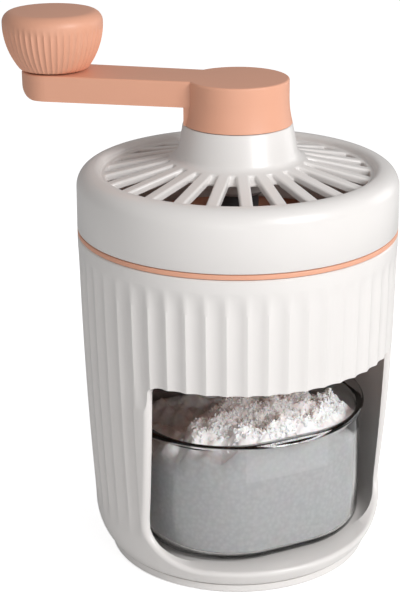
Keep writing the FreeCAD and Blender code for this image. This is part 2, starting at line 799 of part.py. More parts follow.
def make_slots(body):
    """Radial slots between spokes of even width, cut down through the grille."""
    half = "180 / slot_count"
    near = "slot_inner"
    side = "spoke_width / 2"
    across_near = f"({near} * tan({half}) - {side} / cos({half}))"
    across_far = f"(slot_outer * sin({half}) * 0.998 - {side} * cos({half}))"
    far = f"sqrt(slot_outer^2 - {across_far}^2)"
    section = outline(sketch(body, "slot_outline", lift="neck_base"), [
        (near, f"-{across_near} + 0.25"),
        (f"{near} + 0.6", f"-{across_near} - 0.6 * tan({half})"),
        (far, f"-{across_far}", "slot_outer", 1),
        (far, across_far),
        (f"{near} + 0.6", f"{across_near} + 0.6 * tan({half})"),
        (near, f"{across_near} - 0.25"),
    ])
    slot = feature(body, "Pocket", "slot", section, Length="neck_base - lid_side_top")
    around(body, "slots", [slot], "slot_count")


def make_neck_bush():
    body = new_body("neck_bush")
    revolved(body, "bush", [
        ("neck_bush_bore", "bearing_tube_low"),
        ("neck_bush_radius", "bearing_tube_low"),
        ("neck_bush_radius", "neck_top - neck_bush_flange_thick"),
        ("neck_bush_flange", "neck_top - neck_bush_flange_thick"),
        ("neck_bush_flange", "neck_top"),
        ("neck_bush_bore", "neck_top"),
    ])
    return body


# Crank

def double_d(target, radius, flats):
    """A round bar's section with two flats."""
    reach = f"sqrt(({radius})^2 - ({flats})^2)"
    return outline(target, [
        (f"-{reach}", f"-({flats})"),
        (reach, f"-({flats})", radius, 1),
        (reach, flats),
        (f"-{reach}", flats, radius, 1),
    ])


def make_crank_arm():
    body = new_body("crank_arm")
    revolved(body, "hub", [
        (0, "hub_bottom"),
        ("hub_foot_radius", "hub_bottom", "hub_foot_sweep", -1),
        ("hub_radius", "hub_bottom + hub_foot_high"),
        ("hub_radius", "hub_top"),
        (0, "hub_top"),
    ])
    tongue = outline(sketch(body, "tongue_outline", lift="hub_bottom"),
                     rectangle(0, "tongue_reach", "-arm_root_half", "arm_root_half"))
    feature(body, "Pad", "tongue", tongue, Length="hub_top - hub_bottom")
    plan = outline(sketch(body, "arm_outline", lift="arm_low"), [
        (0, "-arm_root_half"),
        ("crank_reach", "-arm_end_half", "arm_end_half", 1),
        ("crank_reach + arm_end_half", 0, "arm_end_half", 1),
        ("crank_reach", "arm_end_half"),
        (0, "arm_root_half"),
    ])
    feature(body, "Pad", "arm", plan, Length="arm_thick")
    tip = "crank_reach + arm_end_half"
    under = outline(sketch(body, "arm_end_cut", "XZ_Plane"), [
        (f"{tip} - arm_end_round", "arm_low", "arm_end_round", 1),
        (tip, "arm_low + arm_end_round"),
        (f"{tip} + 2", "arm_low + arm_end_round"),
        (f"{tip} + 2", "arm_low - 2"),
        (f"{tip} - arm_end_round", "arm_low - 2"),
    ])
    feature(body, "Pocket", "arm_end", under, Length="4 * arm_end_half", Midplane=True)
    top = value("hub_top")
    rounded(body, "top_edge", "arm_edge", lambda e: at_height(e, top))
    socket = double_d(sketch(body, "socket_outline", lift="hub_bottom"),
                      "column_radius + fit_gap", "column_flats + fit_gap")
    feature(body, "Pocket", "socket", socket, Length="column_top_grip + seat_gap", Reversed=True)
    turned_out(body, "washer_recess", [
        (0, "hub_bottom - 1"),
        ("washer_radius + slide_gap", "hub_bottom - 1"),
        ("washer_radius + slide_gap", "washer_top + running_gap"),
        (0, "washer_top + running_gap"),
    ])
    turned_out(body, "insert_hole", [
        (0, "column_top"),
        ("insert_radius + fit_gap", "column_top"),
        ("insert_radius + fit_gap", "insert_top + fit_gap"),
        (0, "insert_top + fit_gap"),
    ])
    turned_out(body, "pin_hole", [
        (0, "arm_low - 1"),
        ("pin_head_radius + fit_gap", "arm_low - 1"),
        ("pin_head_radius + fit_gap", "arm_low + pin_head_high"),
        ("pin_radius + fit_gap", "arm_low + pin_head_high"),
        ("pin_radius + fit_gap", "hub_top + 1"),
        (0, "hub_top + 1"),
    ], shift="crank_reach")
    place(body, angle="crank_angle")
    return body


def make_hub_insert():
    body = new_body("hub_insert")
    revolved(body, "insert", [
        ("drive_screw_radius + fit_gap", "insert_low"),
        ("insert_radius", "insert_low"),
        ("insert_radius", "insert_low + insert_long * 0.4"),
        ("insert_radius - 0.4", "insert_low + insert_long * 0.45"),
        ("insert_radius - 0.4", "insert_low + insert_long * 0.55"),
        ("insert_radius", "insert_low + insert_long * 0.6"),
        ("insert_radius", "insert_top"),
        ("drive_screw_radius + fit_gap", "insert_top"),
    ])
    return body


def make_washer():
    body = new_body("thrust_washer")
    revolved(body, "washer", [
        ("neck_bush_bore", "neck_top"),
        ("washer_radius", "neck_top"),
        ("washer_radius", "washer_top"),
        ("neck_bush_bore", "washer_top"),
    ])
    return body


def make_column():
    body = new_body("drive_column")
    groove = "clip_groove_radius"
    revolved(body, "column", [
        ("column_bore", "column_low"),
        ("column_radius", "column_low"),
        ("column_radius", "clip_low - fit_gap"),
        (groove, "clip_low - fit_gap"),
        (groove, "clip_top + fit_gap"),
        ("column_radius", "clip_top + fit_gap"),
        ("column_radius", "column_top"),
        ("column_bore", "column_top"),
    ])
    for name, low, length in (("top_flat", "washer_top", "column_top_grip"),
                              ("low_flat", "column_low - 1", "column_low_grip + 1")):
        for side in (1, -1):
            box = outline(sketch(body, f"{name}_outline_{side + 1}", lift=low), [
                ("-column_radius", f"{side} * column_flats"),
                ("column_radius", f"{side} * column_flats"),
                ("column_radius", f"{side} * (column_radius + 1)"),
                ("-column_radius", f"{side} * (column_radius + 1)"),
            ])
            feature(body, "Pocket", f"{name}_{side + 1}", box, Length=length, Reversed=True)
    place(body, angle="crank_angle")
    return body


def make_clip():
    """A C-shaped retaining clip in the column's groove, under the bearing tube."""
    body = new_body("shaft_clip")
    revolved(body, "ring", [
        ("clip_groove_radius + fit_gap", "clip_low"),
        ("clip_groove_radius + clip_width", "clip_low"),
        ("clip_groove_radius + clip_width", "clip_top"),
        ("clip_groove_radius + fit_gap", "clip_top"),
    ])
    mouth = outline(sketch(body, "mouth_outline", lift="clip_low - 1"),
                    rectangle(0, "column_radius + clip_width + 2", "-clip_mouth", "clip_mouth"))
    feature(body, "Pocket", "mouth", mouth, Length="clip_thick + 2", Reversed=True)
    place(body, angle="crank_angle")
    return body


def make_drive_screw():
    body = new_body("drive_screw")
    radius = "drive_screw_radius"
    revolved(body, "screw", [
        (0, "drive_head_top - drive_screw_head_high"),
        ("drive_screw_head - 0.5", "drive_head_top - drive_screw_head_high"),
        ("drive_screw_head", "drive_head_top - drive_screw_head_high + 0.5"),
        ("drive_screw_head", "drive_head_top"),
        (radius, "drive_head_top"),
        (radius, "insert_top - 1"),
        (0, "insert_top - 1"),
    ])
    return body


def make_rotor():
    """The paddle wheel: a hub on a spigot, and saw-toothed paddles that press the ice on the blade."""
    body = new_body("ice_rotor")
    bore = "drive_screw_radius + slide_gap"
    revolved(body, "hub", [
        (bore, "drive_head_top"),
        ("drive_screw_head + slide_gap", "drive_head_top"),
        ("drive_screw_head + slide_gap", "spigot_low"),
        ("rotor_spigot", "spigot_low"),
        ("rotor_spigot", "rotor_low"),
        ("rotor_hub_radius - 1", "rotor_low"),
        ("rotor_hub_radius", "rotor_low + 1"),
        ("rotor_hub_radius", "rotor_hub_top - 1.5", "1.5", 1),
        ("rotor_hub_radius - 1.5", "rotor_hub_top"),
        (bore, "rotor_hub_top"),
    ])
    socket = double_d(sketch(body, "socket_outline", lift="rotor_hub_top"),
                      "column_radius + fit_gap", "column_flats + fit_gap")
    feature(body, "Pocket", "socket", socket, Length="rotor_hub_top - column_low + fit_gap")
    teeth = int(value("tooth_count"))
    step = "(paddle_reach - rotor_hub_radius) / tooth_count"
    points = [("rotor_hub_radius - 0.5", "tooth_low + tooth_deep")]
    for tooth in range(teeth):
        points.append((f"rotor_hub_radius + ({tooth} + 0.25) * {step}", "tooth_low + tooth_deep"))
        points.append((f"rotor_hub_radius + ({tooth} + 0.55) * {step}", "tooth_low"))
        points.append((f"rotor_hub_radius + ({tooth} + 0.75) * {step}", "tooth_low"))
    points.append(("paddle_reach", "tooth_low + tooth_deep"))
    points.append(("paddle_reach", "rotor_low + paddle_tip_high", "60", 1))
    points.append(("rotor_hub_radius - 0.5", "rotor_low + paddle_root_high"))
    side = outline(sketch(body, "paddle_outline", "XZ_Plane"), points)
    paddle = feature(body, "Pad", "paddle", side, Length="paddle_thick", Midplane=True)
    around(body, "paddles", [paddle], "paddle_count")
    place(body, angle="crank_angle")
    return body


def make_pin():
    body = new_body("knob_pin")
    revolved(body, "pin", [
        (0, "arm_low + fit_gap"),
        ("pin_head_radius - 0.4", "arm_low + fit_gap"),
        ("pin_head_radius", "arm_low + 0.5"),
        ("pin_head_radius", "arm_low + pin_head_high - fit_gap"),
        ("pin_radius", "arm_low + pin_head_high - fit_gap"),
        ("pin_radius", "knob_low + knob_socket_deep - 1.5"),
        ("pin_radius - 0.6", "knob_low + knob_socket_deep - 0.9"),
        (0, "knob_low + knob_socket_deep - 0.9"),
    ])
    place_at_knob(body)
    return body


# Knob

def place_at_knob(body):
    place(body, x="crank_reach * cos(crank_angle)", y="crank_reach * sin(crank_angle)")


def make_knob():
    body = new_body("knob_grip")
    side_top = "knob_low + knob_side_high"
    shoulder = "knob_radius - knob_shoulder"
    revolved(body, "grip", [
        ("knob_socket_radius", "knob_low"),
        ("knob_socket_radius + knob_socket_wall", "knob_low"),
        ("knob_socket_radius + knob_socket_wall", "knob_low + knob_hollow"),
        ("knob_foot_radius - knob_wall", "knob_low + knob_hollow"),
        ("knob_foot_radius - knob_wall", "knob_low"),
        ("knob_foot_radius", "knob_low", "knob_side_sweep", 1),
        ("knob_radius", side_top, "knob_shoulder", 1),
        (shoulder, f"{side_top} + knob_shoulder"),
        (0, f"{side_top} + knob_shoulder + knob_dome"),
        (0, "knob_low + knob_socket_deep"),
        ("knob_socket_radius", "knob_low + knob_socket_deep"),
    ])
    place_at_knob(body)
    return body


def make_knob_bush():
    body = new_body("knob_bush")
    revolved(body, "bush", [
        ("knob_bush_bore", "knob_low - knob_gap / 2"),
        ("knob_bush_radius", "knob_low - knob_gap / 2"),
        ("knob_bush_radius", "knob_low + knob_socket_deep - fit_gap"),
        ("knob_bush_bore", "knob_low + knob_socket_deep - fit_gap"),
    ])
    place_at_knob(body)
    return body


# Cup

def soft_square(target, half, corner):
    flat = f"({half} - {corner})"
    return outline(target, [
        (f"-{flat}", f"-({half})"),
        (flat, f"-({half})", corner, 1),
        (half, f"-{flat}"),
        (half, flat, corner, 1),
        (flat, half),
        (f"-{flat}", half, corner, 1),
        (f"-({half})", flat),
        (f"-({half})", f"-{flat}", corner, 1),
    ])


def make_cup():
    """A round rim over a softly squared body.  The hollow is rounded before the foot, because its
    square corner would come through the rounded foot."""
    body = new_body("shaved_ice_cup")
    foot = soft_square(sketch(body, "foot_outline", lift="cup_low"), "cup_half", "cup_corner")
    feature(body, "Pad", "wall", foot, Length="cup_top - cup_low", TaperAngle="cup_draft")
    rim = disc(sketch(body, "rim_outline", lift="cup_top - cup_rim_thick"), "cup_rim_radius")
    feature(body, "Pad", "rim", rim, Length="cup_rim_thick")
    hollow = soft_square(sketch(body, "hollow_outline", lift="cup_low + cup_floor"),
                         "cup_inner_half", "cup_inner_corner")
    feature(body, "Pocket", "hollow", hollow, Length="cup_top - cup_low", Reversed=True,
            TaperAngle="cup_draft")
    floor = value("cup_low + cup_floor")
    rounded(body, "hollow_edge", "cup_foot_round - cup_wall", lambda e: at_height(e, floor))
    low = value("cup_low")
    rounded(body, "foot_edge", "cup_foot_round", lambda e: at_height(e, low))
    rim_radius = value("cup_rim_radius")
    rounded(body, "rim_edge", "cup_rim_thick * 0.3", lambda e: is_ring(e, rim_radius))
    return body


PIECES = [
    make_housing, make_base_cover, make_pads, make_base_screws,
    make_hopper, make_floor_bush, make_blade, make_blade_holder, make_blade_screws,
    make_lid, make_neck_bush,
    make_crank_arm, make_hub_insert, make_washer, make_column, make_clip, make_drive_screw,
    make_rotor, make_pin,
    make_knob, make_knob_bush,
    make_cup,
]

bodies = [make() for make in PIECES]
doc.recompute()

for item in doc.Objects:
    if "Invalid" in item.State or "Error" in item.State:
        raise ValueError(f"{item.Label} failed: {item.State}")
for body in bodies:
    if body.Shape.isNull() or not body.Shape.isValid():
        raise ValueError(f"{body.Label} has no valid shape")

os.makedirs("parts", exist_ok=True)
for body in bodies:
    body.Shape.exportStep(f"parts/{body.Label}.step")
    box = body.Shape.BoundBox
    print(f"{body.Label}: {len(body.Shape.Solids)} solid(s), {body.Shape.Volume:.0f} cubic mm,"
          f" z {box.ZMin:.1f} to {box.ZMax:.1f}")
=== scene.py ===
# %% [markdown]
# # A hand-cranked ice shaver
# The shaver is a white fluted tower with a cup in its window, an ice hopper that hangs in it by a
# peach ring, a slotted lid, and a peach crank with a knob that spins.  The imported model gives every
# piece its place, so the lesson starts by loading it.  All lengths below are written in millimetres
# and multiplied by MM, because Blender works in metres.

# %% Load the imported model
import math
import random

import bmesh
import bpy
from mathutils import Euler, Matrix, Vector, noise


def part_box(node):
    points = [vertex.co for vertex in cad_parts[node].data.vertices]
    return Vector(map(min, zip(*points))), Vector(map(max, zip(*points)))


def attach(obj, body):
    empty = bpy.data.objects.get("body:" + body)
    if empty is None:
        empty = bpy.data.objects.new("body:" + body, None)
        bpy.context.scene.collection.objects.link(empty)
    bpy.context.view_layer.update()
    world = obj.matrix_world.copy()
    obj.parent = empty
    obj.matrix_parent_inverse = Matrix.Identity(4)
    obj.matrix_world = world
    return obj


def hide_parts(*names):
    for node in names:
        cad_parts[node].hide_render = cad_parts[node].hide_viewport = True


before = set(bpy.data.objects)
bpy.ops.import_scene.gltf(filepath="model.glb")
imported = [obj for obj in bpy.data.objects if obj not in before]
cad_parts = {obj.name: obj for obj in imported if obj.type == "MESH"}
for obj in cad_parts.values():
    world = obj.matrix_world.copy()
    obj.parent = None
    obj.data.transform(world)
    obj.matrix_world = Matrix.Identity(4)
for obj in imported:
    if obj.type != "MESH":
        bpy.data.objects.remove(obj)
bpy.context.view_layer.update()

MM = 0.001

# %% [markdown]
# ## Small helpers
# Operators act on whatever is selected, so each piece starts with nothing selected.  Most pieces of
# this shaver are round, so the first helper works like a lathe: it collapses a plane to one point,
# extrudes that point along the outline as one would by hand, and spins the outline about the
# upright axis.  Merging the doubled points closes the seam and the poles.

# %% A lathe
SAME_PLACE = 0.002


def nothing_selected():
    bpy.ops.object.select_all(action="DESELECT")


def arc(centre, radius, first, last, steps):
    """Points of an arc in the (radius, height) plane, angles in degrees."""
    angles = [math.radians(first + (last - first) * n / steps) for n in range(steps + 1)]
    return [(centre[0] + radius * math.cos(a), centre[1] + radius * math.sin(a)) for a in angles]


def turned(name, outline, steps):
    """Spin a closed outline of (radius, height) points about the upright axis."""
    nothing_selected()
    bpy.ops.mesh.primitive_plane_add(size=MM, location=(0, 0, 0))
    piece = bpy.context.object
    piece.name = name
    piece.data.name = name
    bpy.ops.object.mode_set(mode="EDIT")
    bpy.ops.mesh.merge(type="CENTER")
    bpy.ops.transform.translate(value=(outline[0][0] * MM, 0, outline[0][1] * MM))
    for before, after in zip(outline, outline[1:]):
        step = ((after[0] - before[0]) * MM, 0, (after[1] - before[1]) * MM)
        bpy.ops.mesh.extrude_vertices_move(TRANSFORM_OT_translate={"value": step})
    bpy.ops.mesh.select_all(action="SELECT")
    bpy.ops.mesh.spin(steps=steps, angle=math.radians(360), center=(0, 0, 0), axis=(0, 0, 1))
    bpy.ops.mesh.select_all(action="SELECT")
    bpy.ops.mesh.remove_doubles(threshold=SAME_PLACE * MM)
    bpy.ops.mesh.normals_make_consistent(inside=False)
    bpy.ops.object.mode_set(mode="OBJECT")
    return piece


def shaded(piece, degrees=30):
    """Smooth shading, with edges sharper than the angle kept crisp."""
    nothing_selected()
    piece.select_set(True)
    bpy.context.view_layer.objects.active = piece
    bpy.ops.object.shade_smooth_by_angle(angle=math.radians(degrees))
    print(piece.name, "has", len(piece.data.polygons), "faces")
    return piece


# %% [markdown]
# The second helper makes a solid through a row of rings, such as a tapered cutter or a moulded
# form.  A filled circle is added, extruded once for each further ring, and the points of the new
# ring are set in place.

# %% A solid through rings
def skinned(name, rings):
    """A closed solid through rings that have equally many points."""
    nothing_selected()
    bpy.ops.mesh.primitive_circle_add(vertices=len(rings[0]), radius=MM, fill_type="NGON")
    piece = bpy.context.object
    piece.name = name
    piece.data.name = name
    bpy.ops.object.mode_set(mode="EDIT")
    for number, ring in enumerate(rings):
        if number:
            bpy.ops.mesh.extrude_region_move()
        mesh = bmesh.from_edit_mesh(piece.data)
        top = [face for face in mesh.faces if face.select][-1]
        for vert, point in zip([loop.vert for loop in top.loops], ring):
            vert.co = Vector(point) * MM
        bmesh.update_edit_mesh(piece.data)
    bpy.ops.mesh.select_all(action="SELECT")
    bpy.ops.mesh.normals_make_consistent(inside=False)
    bpy.ops.object.mode_set(mode="OBJECT")
    return piece


def cut_by(piece, cutter):
    """Take the cutter's space out of the piece, and the cutter away."""
    nothing_selected()
    bpy.context.view_layer.objects.active = piece
    step = piece.modifiers.new("cut", "BOOLEAN")
    step.operation = "DIFFERENCE"
    step.solver = "EXACT"
    step.object = cutter
    bpy.ops.object.modifier_apply(modifier=step.name)
    bpy.data.objects.remove(cutter)
    print("cut", piece.name, "to", len(piece.data.polygons), "faces")


# %% [markdown]
# ## Finishes
# A moulded plastic is one colour, but never perfectly even.  Its gloss wavers a little over a few
# centimetres, a fine grain from the mould breaks up the reflections, and thick and thin stretches
# differ slightly in tone.  One function makes that for every plastic here.  The uniform values sit
# on the shader's own sockets.

# %% Moulded plastic
def moulded(name, colour, roughness, grain=0.012, coat=0.0, see_through=0.0, shade=0.94):
    """A plastic with uneven gloss, a fine mould grain and a slight drift of its tone."""
    material = bpy.data.materials.new(name)
    material.use_nodes = True
    nodes = material.node_tree.nodes
    links = material.node_tree.links
    shader = nodes["Principled BSDF"]
    shader.inputs["IOR"].default_value = 1.52
    shader.inputs["Coat Weight"].default_value = coat
    shader.inputs["Coat Roughness"].default_value = 0.25
    shader.inputs["Transmission Weight"].default_value = see_through

    place = nodes.new("ShaderNodeTexCoord")
    drift = nodes.new("ShaderNodeTexNoise")
    drift.inputs["Scale"].default_value = 14.0
    drift.inputs["Detail"].default_value = 3.0
    links.new(place.outputs["Object"], drift.inputs["Vector"])

    tone = nodes.new("ShaderNodeValToRGB")
    tone.color_ramp.elements[0].position = 0.3
    tone.color_ramp.elements[0].color = (*[c * shade for c in colour], 1)
    tone.color_ramp.elements[1].position = 0.7
    tone.color_ramp.elements[1].color = (*colour, 1)
    links.new(drift.outputs["Fac"], tone.inputs["Fac"])
    links.new(tone.outputs["Color"], shader.inputs["Base Color"])

    gloss = nodes.new("ShaderNodeMapRange")
    gloss.inputs["To Min"].default_value = roughness * 0.85
    gloss.inputs["To Max"].default_value = roughness * 1.2
    links.new(drift.outputs["Fac"], gloss.inputs["Value"])
    links.new(gloss.outputs["Result"], shader.inputs["Roughness"])

    fine = nodes.new("ShaderNodeTexNoise")
    fine.inputs["Scale"].default_value = 2600.0
    fine.inputs["Detail"].default_value = 2.0
    links.new(place.outputs["Object"], fine.inputs["Vector"])
    bump = nodes.new("ShaderNodeBump")
    bump.inputs["Strength"].default_value = 0.25
    bump.inputs["Distance"].default_value = grain * MM
    links.new(fine.outputs["Fac"], bump.inputs["Height"])
    links.new(bump.outputs["Normal"], shader.inputs["Normal"])
    return material


WHITE = moulded("white_plastic", (0.80, 0.772, 0.752), 0.36, coat=0.3)
PEACH = moulded("peach_plastic", (0.80, 0.40, 0.265), 0.46, grain=0.02)
DARK = moulded("dark_plastic", (0.075, 0.075, 0.078), 0.30)
NATURAL = moulded("natural_plastic", (0.72, 0.71, 0.68), 0.40)
print("plastics:", [m.name for m in (WHITE, PEACH, DARK, NATURAL)])

# %% [markdown]
# Steel and brass are turned or rolled, so their gloss is drawn out in fine lines.  A noise that is
# stretched along one axis gives such lines.  The rubber of the pads is dull, with a coarser grain.

# %% Metals and rubber
def metal(name, colour, roughness, stretch):
    """A worked metal with fine lines."""
    material = bpy.data.materials.new(name)
    material.use_nodes = True
    nodes = material.node_tree.nodes
    links = material.node_tree.links
    shader = nodes["Principled BSDF"]
    shader.inputs["Metallic"].default_value = 1.0
    place = nodes.new("ShaderNodeTexCoord")
    along = nodes.new("ShaderNodeMapping")
    along.inputs["Scale"].default_value = stretch
    lines = nodes.new("ShaderNodeTexNoise")
    lines.inputs["Scale"].default_value = 400.0
    lines.inputs["Detail"].default_value = 4.0
    links.new(place.outputs["Object"], along.inputs["Vector"])
    links.new(along.outputs["Vector"], lines.inputs["Vector"])
    tone = nodes.new("ShaderNodeValToRGB")
    tone.color_ramp.elements[0].color = (*[c * 0.8 for c in colour], 1)
    tone.color_ramp.elements[1].color = (*colour, 1)
    links.new(lines.outputs["Fac"], tone.inputs["Fac"])
    links.new(tone.outputs["Color"], shader.inputs["Base Color"])
    gloss = nodes.new("ShaderNodeMapRange")
    gloss.inputs["To Min"].default_value = roughness * 0.7
    gloss.inputs["To Max"].default_value = roughness * 1.4
    links.new(lines.outputs["Fac"], gloss.inputs["Value"])
    links.new(gloss.outputs["Result"], shader.inputs["Roughness"])
    bump = nodes.new("ShaderNodeBump")
    bump.inputs["Strength"].default_value = 0.2
    bump.inputs["Distance"].default_value = 0.02 * MM
    links.new(lines.outputs["Fac"], bump.inputs["Height"])
    links.new(bump.outputs["Normal"], shader.inputs["Normal"])
    return material


STEEL = metal("stainless_steel", (0.62, 0.62, 0.63), 0.28, (1, 1, 12))
BRASS = metal("turned_brass", (0.70, 0.50, 0.20), 0.25, (1, 1, 12))
RUBBER = moulded("grey_rubber", (0.10, 0.10, 0.10), 0.75, grain=0.06)
print("metals:", STEEL.name, BRASS.name)

# %% [markdown]
# The cup is a clear plastic with a smoky grey tint.  The light crosses four walls of it, so each
# wall takes only a little.  Ice is clear too, but shaved ice is so full of edges and air that it
# looks white: a bright base with some light passing under its skin.

# %% Clear cup and shaved ice
CLEAR = moulded("clear_cup_plastic", (0.90, 0.905, 0.91), 0.04, grain=0.004, see_through=1.0,
                shade=0.97)


def shaved_ice(name, bright, dim, relief):
    """Snow of ice flakes; the dim tone and the relief make its crumbs."""
    material = bpy.data.materials.new(name)
    material.use_nodes = True
    nodes = material.node_tree.nodes
    links = material.node_tree.links
    shader = nodes["Principled BSDF"]
    shader.inputs["IOR"].default_value = 1.31
    shader.inputs["Subsurface Weight"].default_value = 0.15
    shader.inputs["Subsurface Scale"].default_value = 1.5 * MM
    place = nodes.new("ShaderNodeTexCoord")
    flakes = nodes.new("ShaderNodeTexVoronoi")
    flakes.inputs["Scale"].default_value = 620.0
    links.new(place.outputs["Object"], flakes.inputs["Vector"])
    tone = nodes.new("ShaderNodeValToRGB")
    tone.color_ramp.elements[0].color = (*[bright] * 3, 1)
    tone.color_ramp.elements[1].position = 0.8
    tone.color_ramp.elements[1].color = (*[dim] * 3, 1)
    links.new(flakes.outputs["Distance"], tone.inputs["Fac"])
    links.new(tone.outputs["Color"], shader.inputs["Base Color"])
    gloss = nodes.new("ShaderNodeMapRange")
    gloss.inputs["To Min"].default_value = 0.35
    gloss.inputs["To Max"].default_value = 0.7
    links.new(flakes.outputs["Distance"], gloss.inputs["Value"])
    links.new(gloss.outputs["Result"], shader.inputs["Roughness"])
    bump = nodes.new("ShaderNodeBump")
    bump.inputs["Strength"].default_value = 0.8
    bump.inputs["Distance"].default_value = relief * MM
    links.new(flakes.outputs["Distance"], bump.inputs["Height"])
    links.new(bump.outputs["Normal"], shader.inputs["Normal"])
    return material


ICE = shaved_ice("loose_ice", 0.98, 0.90, 0.25)
PACKED = shaved_ice("packed_ice", 0.92, 0.80, 0.1)
print("cup and ice:", CLEAR.name, ICE.name, PACKED.name)

# %% [markdown]
# ## The tower
# The housing is one moulding: a slightly barrelled wall with a rounded foot, and a floor for the
# cup.  Its outside is covered with 51 shallow flutes whose arrises nearly touch.  A flute is a
# hollow, so it has to be real geometry, or its outline and its shading at the ends would be wrong.
# First comes the plain wall, turned with eight columns of faces to a flute and close rows where
# the flutes run out.

# %% The tower's plain wall
HOUSING_TOP = 123.7
SHOULDER = 16.0
FOOT = 3.5
TOP_RADIUS = 58.2
LOW_RADIUS = 54.4
FOOT_RADIUS = 49.0
BARREL = 1700.0
FOOT_ROUND = 22.0
WALL = 2.5
FLOOR = 10.4
FLOOR_LOW = 7.9
SKIRT_INNER = 45.6
BAY_ROUND = 7.36
BAY_ROUND_PLACE = 44.54
FLUTES = 51
COLUMNS = 8


def circle_centre(first, last, radius):
    """Centre of the arc of that radius that bulges outwards between two (radius, height) points."""
    chord = Vector(last) - Vector(first)
    inwards = Vector((-chord.y, chord.x)).normalized()
    reach = math.sqrt(radius ** 2 - chord.length_squared / 4)
    return (Vector(first) + Vector(last)) / 2 + inwards * reach


BARREL_CENTRE = circle_centre((LOW_RADIUS, SHOULDER), (TOP_RADIUS, HOUSING_TOP), BARREL)
FOOT_CENTRE = circle_centre((FOOT_RADIUS, FOOT), (LOW_RADIUS, SHOULDER), FOOT_ROUND)


def tower_radius(z):
    """Radius of the tower's outside, without its flutes."""
    if z < SHOULDER:
        return FOOT_CENTRE.x + math.sqrt(FOOT_ROUND ** 2 - (z - FOOT_CENTRE.y) ** 2)
    return BARREL_CENTRE.x + math.sqrt(BARREL ** 2 - (z - BARREL_CENTRE.y) ** 2)


rows = [4.2, 6, 8, 10, 12, 14] + [SHOULDER + 1.0 * n for n in range(12)]
rows += [30, 38, 46, 54, 62] + [68 + 1.0 * n for n in range(12)]
rows += [82, 86, 92, 98, 104] + [108 + 0.8 * n for n in range(15)] + [121.5, 123.2]
outside = [(FOOT_RADIUS - 0.5, FOOT)] + [(tower_radius(z), z) for z in rows]
outside += [(TOP_RADIUS - 0.4, HOUSING_TOP), (TOP_RADIUS - WALL, HOUSING_TOP)]
inside = [(tower_radius(z) - WALL, z) for z in (110, 90, 82, 70, 50, 30, 17)]
inside += arc((BAY_ROUND_PLACE, FLOOR + BAY_ROUND), BAY_ROUND, -14, -90, 6)
outline = [(0, FLOOR_LOW), (SKIRT_INNER, FLOOR_LOW), (SKIRT_INNER, FOOT)] + outside + inside
outline += [(0, FLOOR), (0, FLOOR_LOW)]
tower = turned("tower_shell", outline, FLUTES * COLUMNS)
print("tower wall:", len(rows), "rows of", FLUTES * COLUMNS)

# %% [markdown]
# Now the flutes.  Each point of the outside moves in by the depth of a round hollow at its place
# between two arrises.  The depth fades to nothing over the last few millimetres, faster in the
# middle of a flute than a straight fade would, so that the ends are arched as a round cutter leaves
# them.  Between the bearings FRAME_LEFT and FRAME_RIGHT they end a little below the window's top
# edge, inside the opening.  On the left that leaves a narrow smooth strip beside the opening.

# %% The tower's flutes
FLUTE_DEPTH = 0.95
FIRST_ARRIS = -2.06
FLUTE_LOW = 18.0
FLUTE_HIGH = 119.0
SHORT_LOW = 71.5
RUN_OUT = 9.0
FRAME_LEFT = -66.3
FRAME_RIGHT = 61.6


def run_out(distance):
    """Share of the full depth at that distance from a flute's end."""
    share = min(max(distance / RUN_OUT, 0.0), 1.0)
    return 1 - (1 - share) ** 2


pitch = 360.0 / FLUTES
for vert in tower.data.vertices:
    x, y, z = vert.co / MM
    radius = math.hypot(x, y)
    if radius < tower_radius(max(z, FOOT)) - 0.1 or not FLUTE_LOW < z < FLUTE_HIGH:
        continue
    bearing = math.degrees(math.atan2(x, -y))
    across = ((bearing - FIRST_ARRIS) / pitch) % 1.0
    framed = FRAME_LEFT < bearing < FRAME_RIGHT
    end = SHORT_LOW if framed else FLUTE_LOW
    hollow = 1 - (2 * across - 1) ** 2
    depth = FLUTE_DEPTH * hollow * run_out(z - end) * run_out(FLUTE_HIGH - z)
    vert.co.x *= (radius - depth) / radius
    vert.co.y *= (radius - depth) / radius
print("flutes:", FLUTES, "of", round(2 * math.pi * TOP_RADIUS / FLUTES, 1), "mm")

# %% [markdown]
# The window's top edge is square, and its sides and its foot have a full rounded lip.  A bevel
# after the cut would need clean rows of faces, which a cut doesn't leave, so the cutter brings the
# lip with it.  It is a solid through rings: each ring is the window's outline at one depth in the
# wall, and grows towards the outside.

# %% The window with its lip
WINDOW_HALF = 49.3
WINDOW_TOP = 81.5
BIG_ROUND = 14.5
SMALL_ROUND = 3.0
LIP = 2.2
LIP_STEPS = 8
SILL = FLOOR + 0.03
CUTTER_OUT = 70
CUTTER_IN = 6


def window_outline(grow):
    """Points (x, z) of the window, grown by that much everywhere but at its top."""
    half = WINDOW_HALF + grow
    low = SILL - grow
    big = BIG_ROUND + grow
    small = SMALL_ROUND
    points = [(x * half / 20 * (1 - big / half), low) for x in range(-20, 21)]
    foot_points = len(points)
    points += [(half - big + big * math.sin(a), low + big - big * math.cos(a))
               for a in [math.radians(9 * n) for n in range(1, 10)]]
    points += [(half, low + big + (WINDOW_TOP - small - low - big) * n / 24) for n in range(1, 25)]
    points += [(half - small + small * math.cos(a), WINDOW_TOP - small + small * math.sin(a))
               for a in [math.radians(15 * n) for n in range(1, 6)]]
    points += [((half - small) * (1 - n / 20), WINDOW_TOP) for n in range(0, 20)]
    return points + [(-x, z) for x, z in reversed(points[foot_points:])]


def at_depth(point, depth, grow):
    """A point of the window on a surface that lies that deep in the wall."""
    x, z = point
    radius = tower_radius(min(max(z, FOOT), HOUSING_TOP))
    bearing = math.asin(max(-0.999, min(x / (radius + grow * 0.6), 0.999)))
    radius -= depth
    return (radius * math.sin(bearing), -radius * math.cos(bearing), z)


